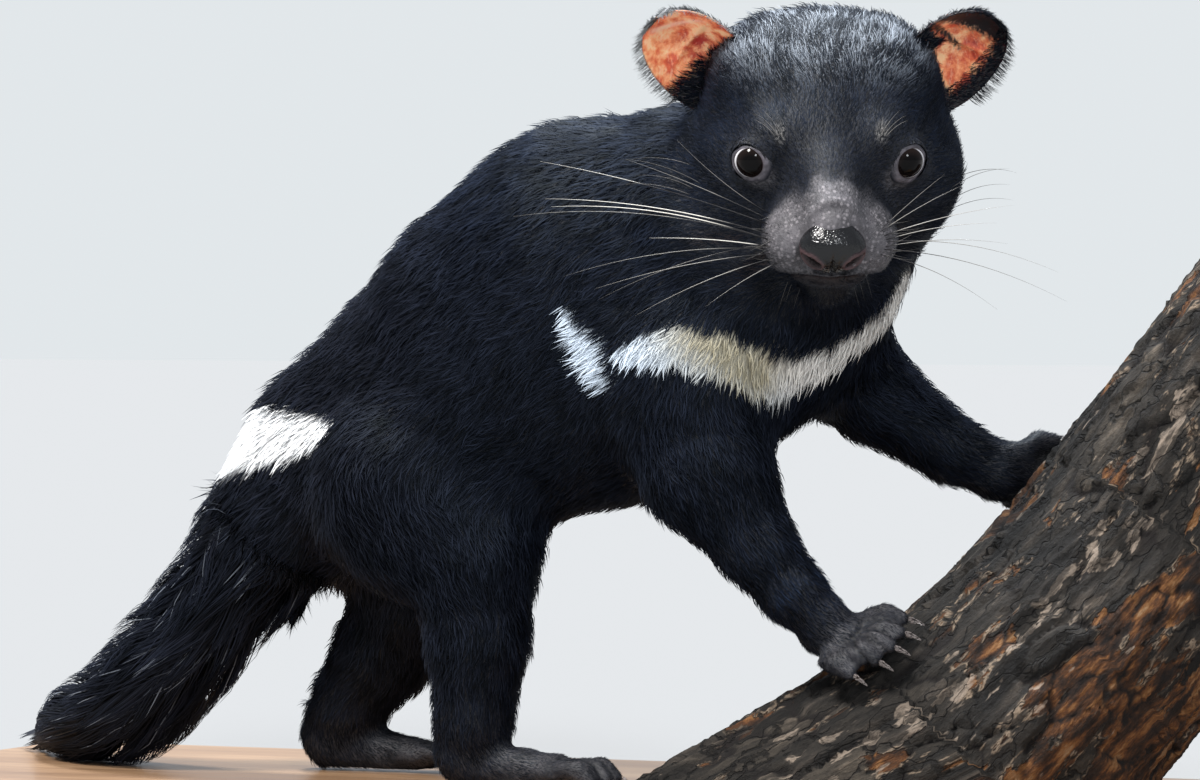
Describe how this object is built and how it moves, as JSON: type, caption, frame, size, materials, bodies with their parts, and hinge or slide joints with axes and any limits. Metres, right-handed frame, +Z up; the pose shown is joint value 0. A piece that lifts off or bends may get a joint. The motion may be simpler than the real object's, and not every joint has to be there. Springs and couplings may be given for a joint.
{
  "type": "tasmanian devil",
  "caption": "Still museum model of a young tasmanian devil standing with its forefeet up on a cut length of log, on a flat base.",
  "frame": {"origin": "middle of the underside of the stand's base board", "axes": "+X the way the body faces and along the base's long side, +Y the animal's left, +Z up"},
  "size_m": [0.5986, 0.2302, 0.3071],
  "materials": {
    "black_coat": "short dense black fur with a soft bluish sheen",
    "foot_skin": "thinly haired grey skin",
    "nose_skin": "wet black skin",
    "ear_skin": "thin, translucent orange-pink skin",
    "eye": "clear wet gloss over a dark brown iris",
    "claw": "pale horn",
    "bark": "rough flaking bark",
    "base_board": "satin",
    "rod": "brushed"
  },
  "bodies": {
    "root": {"claw_foot_left_1": "claw", "claw_foot_left_2": "claw", "claw_foot_left_3": "claw", "claw_foot_left_4": "claw", "claw_foot_right_1": "claw", "claw_foot_right_2": "claw", "claw_foot_right_3": "claw", "claw_foot_right_4": "claw", "claw_hand_left_1": "claw", "claw_hand_left_2": "claw", "claw_hand_left_3": "claw", "claw_hand_left_4": "claw", "claw_hand_left_5": "claw", "claw_hand_right_1": "claw", "claw_hand_right_2": "claw", "claw_hand_right_3": "claw", "claw_hand_right_4": "claw", "claw_hand_right_5": "claw", "ear_left": "ear_skin", "ear_right": "ear_skin", "eye_left": "eye", "eye_right": "eye", "foot_left": "foot_skin", "foot_right": "foot_skin", "forearm_left": "black_coat", "forearm_right": "black_coat", "hand_left": "foot_skin", "hand_right": "foot_skin", "head": "black_coat", "neck": "black_coat", "nose": "nose_skin", "perch_log": "bark", "shank_left": "black_coat", "shank_right": "black_coat", "stand_base": "base_board", "stand_rod": "rod", "tail": "black_coat", "thigh_left": "black_coat", "thigh_right": "black_coat", "torso": "black_coat", "upper_arm_left": "black_coat", "upper_arm_right": "black_coat"}
  },
  "joints": []
}
